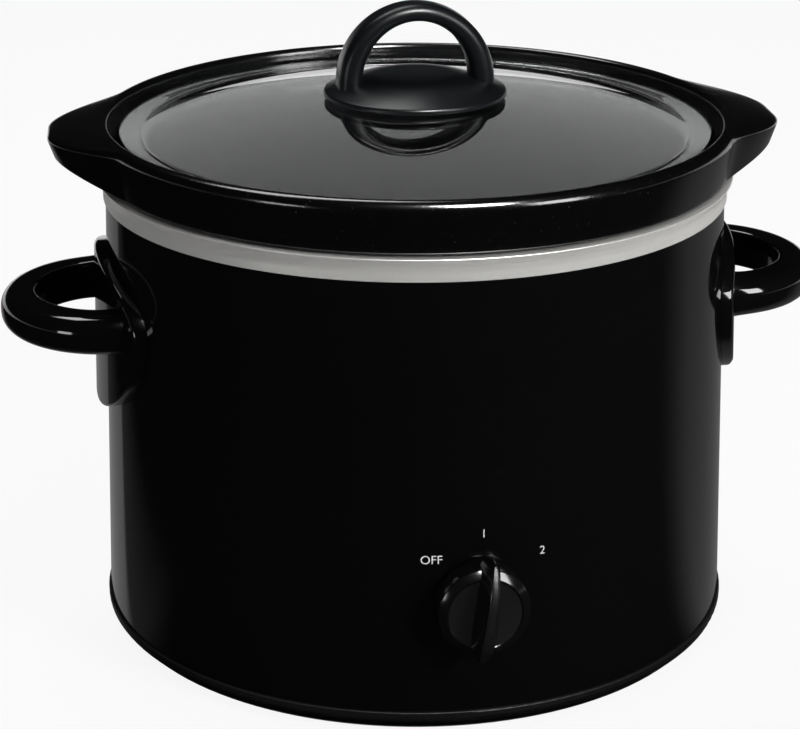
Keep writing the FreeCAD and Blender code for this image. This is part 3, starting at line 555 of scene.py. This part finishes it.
def handlePlate():
    # A square grid is rounded to a disc, stretched to the outline and laid on the shell
    size = handleSizes
    bm = bmesh.new()
    bmesh.ops.create_grid(bm, x_segments=size["plateCells"], y_segments=size["plateCells"], size=1)

    def onShell(vert, lift):
        reach = (shellRadius(vert.co.z / mm) + lift) * mm
        vert.co.x = math.sqrt(reach ** 2 - vert.co.y ** 2)

    for vert in bm.verts:
        across, up = vert.co.x, vert.co.y
        wide = across * math.sqrt(1 - up * up / 2)
        tall = up * math.sqrt(1 - across * across / 2)
        rise = size["plateRise"] if tall > 0 else size["plateDrop"]
        vert.co = (0, wide * size["plateHalf"] * mm, (size["plateLevel"] + tall * rise) * mm)
        onShell(vert, size["gap"])
    fresh = bmesh.ops.extrude_face_region(bm, geom=bm.faces[:])["geom"]
    for part in fresh:
        if isinstance(part, bmesh.types.BMVert):
            onShell(part, size["gap"] + size["plateThick"])
    bmesh.ops.recalc_face_normals(bm, faces=bm.faces)
    freshFaces = {part for part in fresh if isinstance(part, bmesh.types.BMFace)}
    border = [edge for edge in bm.edges if len(freshFaces.intersection(edge.link_faces)) == 1]
    bmesh.ops.bevel(bm, geom=border, offset=size["plateRound"] * mm, offset_type="OFFSET", segments=4,
                    profile=0.5, affect="EDGES", material=-1)
    return bm


def makeHandles():
    for side, name, node in ((1, "rightHandle", "handle_right"), (-1, "leftHandle", "handle_left")):
        bm = joined(handlePlate(), handleLoop())
        bmesh.ops.scale(bm, verts=bm.verts, vec=(side, 1, 1))
        bmesh.ops.recalc_face_normals(bm, faces=bm.faces)
        addPiece(name, bm, "handle", "base", [node])


# Knob: bevelled disc with a wedge-shaped blade, turned to its place at rest

knobSizes = {"height": 51.3, "radius": 16.8, "faceRadius": 13.8, "back": 0.96, "depth": 10.4, "bevel": 2.0,
             "recess": 0.6, "backRound": 0.5, "bevelRound": 0.8, "faceRound": 0.4, "recessRound": 0.2,
             "pocket": 9.1, "pocketTop": 5.0, "bladeLength": 38.6, "bladeFoot": 9.0, "bladeCrest": 4.2,
             "bladeRise": 10.0, "bladeShift": 1.8, "bladeRound": 0.9, "endDrop": 7.0, "endTaper": 0.985,
             "skirt": 4.0, "spread": 0.3, "tilt": 7.0, "crestFacing": 0.7}
frontPlace = (Matrix.Translation((0, -shellRadius(knobSizes["height"]) * mm, knobSizes["height"] * mm))
              @ Matrix.Rotation(math.pi / 2, 4, "X"))


def knobBlade():
    size = knobSizes
    face = size["back"] + size["depth"]
    half = size["bladeLength"] / 2
    bm = bmesh.new()
    bmesh.ops.create_grid(bm, x_segments=6, y_segments=48, size=1)

    def width(along, full, spread=0):
        return full / 2 * (1 - spread * along) * (1 - size["endTaper"] * abs(along) ** 5) ** 0.5

    for vert in bm.verts:
        across, along = vert.co.x, vert.co.y
        crest = face + size["bladeRise"] - size["endDrop"] * abs(along) ** 3
        crestWidth = width(along, size["bladeCrest"], size["spread"])
        vert.co = (across * crestWidth * mm, along * half * mm, crest * mm)
    crestBorder = openEdges(bm)
    fresh = bmesh.ops.extrude_edge_only(bm, edges=crestBorder)["geom"]
    for part in fresh:
        if isinstance(part, bmesh.types.BMVert):
            along = part.co.y / (half * mm)
            crestWidth = width(along, size["bladeCrest"], size["spread"])
            part.co.x *= width(along, size["bladeFoot"]) / crestWidth
            part.co.z = (face - size["skirt"]) * mm
    bmesh.ops.holes_fill(bm, edges=openEdges(bm))
    bmesh.ops.recalc_face_normals(bm, faces=bm.faces)
    bmesh.ops.translate(bm, verts=bm.verts, vec=(0, size["bladeShift"] * mm, 0))
    bmesh.ops.bevel(bm, geom=crestBorder, offset=size["bladeRound"] * mm, offset_type="OFFSET", segments=4,
                    profile=0.5, affect="EDGES", material=-1)
    for part in bm.faces:
        onCrest = part.normal.z > size["crestFacing"]
        part.material_index = int(onCrest and part.calc_center_median().z > face * mm)
    return bm


def makeKnob():
    size = knobSizes
    face = size["back"] + size["depth"]
    sunkRadius, sunkFace = size["faceRadius"] - size["recess"], face - size["recess"]
    disc = spun([(0, size["pocketTop"], 0), (size["pocket"], size["pocketTop"], 0),
                 (size["pocket"], size["back"], 0), (size["radius"], size["back"], size["backRound"]),
                 (size["radius"], face - size["bevel"], size["bevelRound"]),
                 (size["faceRadius"], face, size["faceRound"]),
                 (sunkRadius, sunkFace, size["recessRound"]), (0, sunkFace, 0)], 160, 5)
    for part in disc.faces:
        middle = part.calc_center_median()
        inFace = math.hypot(middle.x, middle.y) < sunkRadius * mm
        part.material_index = int(inFace and middle.z > (size["pocketTop"] + 1) * mm)
    bm = joined(disc, knobBlade())
    bmesh.ops.transform(bm, verts=bm.verts,
                        matrix=frontPlace @ Matrix.Rotation(-math.radians(size["tilt"]), 4, "Z"))
    addPiece("controlKnob", bm, "knob", "control", ["knob"], faceFinish="knobFace")


# Dial marks printed on the shell: plain figures

markSizes = {"capHeight": 3.2, "capShare": 0.7, "lift": 0.06,
             "marks": (("OFF", -17.2, 16.8), ("1", 1.6, 26.0), ("2", 23.7, 16.9))}


def makeMarks():
    bm = bmesh.new()
    for words, across, up in markSizes["marks"]:
        curve = bpy.data.curves.new("mark", "FONT")
        curve.body = words
        curve.align_x = "CENTER"
        curve.align_y = "CENTER"
        curve.size = markSizes["capHeight"] / markSizes["capShare"] * mm
        curve.resolution_u = 6
        text = bpy.data.objects.new("mark", curve)
        mesh = bpy.data.meshes.new_from_object(text)
        mesh.transform(Matrix.Translation((across * mm, up * mm, 0)))
        bm.from_mesh(mesh)
        bpy.data.objects.remove(text)
        bpy.data.curves.remove(curve)
        bpy.data.meshes.remove(mesh)
    bmesh.ops.subdivide_edges(bm, edges=bm.edges, cuts=1)
    for vert in bm.verts:
        height = knobSizes["height"] + vert.co.y / mm
        radius = (shellRadius(height) + markSizes["lift"]) * mm
        turn = vert.co.x / radius
        vert.co = (radius * math.sin(turn), -radius * math.cos(turn), height * mm)
    addPiece("dialMarks", bm, "print", "base")


makeShell()
makeWell()
makeCrock()
makeLidGlass()
makeLidHandle()
makeHandles()
makeKnob()
makeMarks()

# CAD nodes that stay in view or inside get their own finish
nodeFinishes = {
    "base": ["base_pan", "cord_gland", "switch_body"],
    "fastener": ["well_stud", "base_washer", "base_nut", "handle_screws_right", "handle_screws_left",
                 "switch_nut", "switch_shaft", "strap_screw", "lid_handle_screw", "lid_washer"],
    "brass": ["switch_terminals"],
    "foil": ["heating_band", "thermal_fuse", "heater_strap"],
    "sleeve": ["heater_leads"],
    "gasket": ["lid_gasket"],
}
for finish, names in nodeFinishes.items():
    for name in names:
        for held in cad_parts[name].material_slots:
            held.material = finishes[finish]


# Studio: white floor and surroundings, with glowing cards out of the camera's sight that paint the
# reflections in the black gloss

studio = {"floorHalf": 6.0, "floorGlow": 0.9, "fadeStart": 1.0, "fadeEnd": 3.0, "fill": 0.32}


def seenWhite(look):
    # 1 for what is looked at straight, in a mirror or through glass
    path = look.tree.nodes.new("ShaderNodeLightPath")
    straight = Val(look, path.outputs["Is Camera Ray"])
    inMirror = Val(look, path.outputs["Is Glossy Ray"])
    throughGlass = Val(look, path.outputs["Is Transmission Ray"])
    return (straight + inMirror + throughGlass).maths("MINIMUM", 1.0)


def addStage(name, bm, look, shader):
    mesh = bpy.data.meshes.new(name)
    bm.to_mesh(mesh)
    bm.free()
    mesh.materials.append(look.finish(shader))
    piece = bpy.data.objects.new(name, mesh)
    scene.collection.objects.link(piece)
    return piece


def makeFloor():
    bm = bmesh.new()
    bmesh.ops.create_grid(bm, x_segments=1, y_segments=1, size=studio["floorHalf"])
    look = newLook("floorWhite")
    x, y = look.parts(look.coords())[:2]
    distance = (x * x + y * y).maths("SQRT")
    fade = distance.step(studio["fadeStart"], studio["fadeEnd"])
    glowShare = studio["floorGlow"] + (1 - studio["floorGlow"]) * fade
    diffuse = look.node("ShaderNodeBsdfDiffuse", None, {"Color": rgb(0.8, 0.8, 0.8)})
    glow = look.node("ShaderNodeEmission", None, {"Color": rgb(1, 1, 1), "Strength": 1.0})
    mix = look.node("ShaderNodeMixShader", None, {0: seenWhite(look) * glowShare, 1: diffuse, 2: glow})
    addStage("floor", bm, look, mix)


def makeWorld():
    world = bpy.data.worlds.new("studio")
    scene.world = world
    look = Look(world)
    seen = seenWhite(look)
    level = seen + (1 - seen) * studio["fill"]
    colour = look.mixColour(level, rgb(0, 0, 0), rgb(1, 1, 1))
    shade = look.node("ShaderNodeBackground", None, {"Color": colour})
    output = look.tree.nodes.new("ShaderNodeOutputWorld")
    look.tree.links.new(shade.socket, output.inputs["Surface"])


# Cards, seen only in reflections, where they paint reflections: a black tent open along the floor at the
# back, and a dark floor card with a painted grey reflection panel on the left and a painted soft rise of
# reflected light on the right

# Glow levels of the cards; the panel and the right rise are painted reflections
cards = {"heading": 11.0, "half": 4.0, "height": 5.0, "backGap": 0.36, "black": 0.004, "floorEnd": 0.68,
         "floorLift": 0.001, "panelEdge": (-0.166, 0.054), "panelTurn": 27.0, "panel": 0.2,
         "panelBlur": (-0.002, 0.004), "panelTail": 0.05, "tailBlur": (-0.08, 0),
         "panelFront": (-0.08, -0.05), "panelRight": (-0.02, 0.02), "paintedRightRise": 0.15,
         "fanFoot": (0.05, -0.07), "fanBlur": (0.1, 0.55), "riseBlur": (0.05, 0.08)}
cardTurn = Matrix.Rotation(-math.radians(cards["heading"]), 3, "Z")


def hideCard(card):
    card.visible_camera = False
    card.visible_diffuse = False
    card.visible_transmission = False
    card.visible_shadow = False


# Tent: a near-black glow seen only in reflections, painting dark reflections on the gloss over the white
# world
def makeTent():
    bm = bmesh.new()
    bmesh.ops.create_cube(bm, size=1)
    bmesh.ops.translate(bm, verts=bm.verts, vec=(0, 0, 0.5))
    bmesh.ops.scale(bm, verts=bm.verts, vec=(2 * cards["half"], 2 * cards["half"], cards["height"]))
    bottom = [face for face in bm.faces if face.calc_center_median().z < 0.001]
    bmesh.ops.delete(bm, geom=bottom, context="FACES_ONLY")
    backFoot = [vert for vert in bm.verts if vert.co.y > 0 and vert.co.z < 0.001]
    bmesh.ops.translate(bm, verts=backFoot, vec=(0, 0, cards["backGap"]))
    bmesh.ops.rotate(bm, cent=(0, 0, 0), verts=bm.verts, matrix=cardTurn)
    look = newLook("tentBlack")
    black = rgb(cards["black"], cards["black"], cards["black"])
    hideCard(addStage("tent", bm, look, look.node("ShaderNodeEmission", None, {"Color": black})))


# Painted reflections: the floor card's glow, near black with a grey panel on the left and a soft rise on
# the right, seen only in the gloss
def paintedReflection(x, y):
    heading = math.radians(cards["heading"])
    ahead = math.sin(heading) * x + math.cos(heading) * y
    right = math.cos(heading) * x - math.sin(heading) * y
    turn = math.radians(cards["panelTurn"])
    edgeX, edgeY = cards["panelEdge"]
    beside = math.cos(turn) * (x - edgeX) + math.sin(turn) * (y - edgeY)
    tail = cards["panelTail"] * beside.step(*cards["tailBlur"])
    panel = cards["panel"] * beside.step(*cards["panelBlur"]) + tail
    panel = panel * ahead.step(*cards["panelFront"]) * (1 - right.step(*cards["panelRight"]))
    fanRight, fanAhead = cards["fanFoot"]
    fan = (ahead - fanAhead) / (right - fanRight).maths("MAXIMUM", 0.001)
    rise = fan.step(*cards["fanBlur"]) * right.step(*cards["riseBlur"])
    return cards["black"] + panel + cards["paintedRightRise"] * rise


def makeFloorCard():
    half, end = cards["half"], cards["floorEnd"]
    bm = bmesh.new()
    bmesh.ops.create_grid(bm, x_segments=1, y_segments=1, size=1)
    bmesh.ops.scale(bm, verts=bm.verts, vec=(half, (half + end) / 2, 1))
    bmesh.ops.translate(bm, verts=bm.verts, vec=(0, (end - half) / 2, cards["floorLift"]))
    bmesh.ops.rotate(bm, cent=(0, 0, 0), verts=bm.verts, matrix=cardTurn)
    look = newLook("floorCard")
    x, y = look.parts(look.coords())[:2]
    colour = look.mixColour(paintedReflection(x, y), rgb(0, 0, 0), rgb(1, 1, 1))
    hideCard(addStage("floorCard", bm, look, look.node("ShaderNodeEmission", None, {"Color": colour})))


# Softboxes in metres and watts; a shineOnly one isn't seen by diffuse rays, so it shows in gloss and glass

softboxes = {
    "topBox": {"place": (-0.2, 0.5, 1.2), "aim": 0.2, "size": (0.7, 0.35), "power": 6.0,
               "shineOnly": False},
    "rightBox": {"place": (0.95, -1.2, 0.75), "aim": 0.1, "size": (0.5, 0.7), "power": 18.0,
                 "shineOnly": False},
    "frontBox": {"place": (0.2, -0.8, 1.15), "aim": 0.2, "size": (0.35, 0.5), "power": 60.0,
                 "shineOnly": True},
    "leftBox": {"place": (-1.3, -0.9, 0.22), "aim": 0.13, "size": (0.4, 0.3), "power": 3.0,
                "shineOnly": True},
}


def looking(place, target):
    aim = target - place
    return Matrix.Translation(place) @ aim.to_track_quat("-Z", "Y").to_matrix().to_4x4()


def makeLights():
    for name, box in softboxes.items():
        light = bpy.data.lights.new(name, "AREA")
        light.shape = "RECTANGLE"
        light.size, light.size_y = box["size"]
        light.energy = box["power"]
        lamp = bpy.data.objects.new(name, light)
        scene.collection.objects.link(lamp)
        lamp.matrix_world = looking(Vector(box["place"]), Vector((0, 0, box["aim"])))
        lamp.visible_diffuse = not box["shineOnly"]


view = {"place": (-171.2, -880.5, 430.0), "aim": (-5.6, 1.1, 97.0), "lens": 108.45, "sensor": 36.0,
        "nearest": 10.0}


def makeCamera():
    data = bpy.data.cameras.new("camera")
    data.lens = view["lens"]
    data.sensor_width = view["sensor"]
    data.sensor_fit = "HORIZONTAL"
    data.clip_start = view["nearest"] * mm
    camera = bpy.data.objects.new("camera", data)
    scene.collection.objects.link(camera)
    camera.matrix_world = looking(Vector(view["place"]) * mm, Vector(view["aim"]) * mm)
    scene.camera = camera


makeFloor()
makeWorld()
makeTent()
makeFloorCard()
makeLights()
makeCamera()
scene.view_settings.view_transform = "Standard"
print("studio ready")
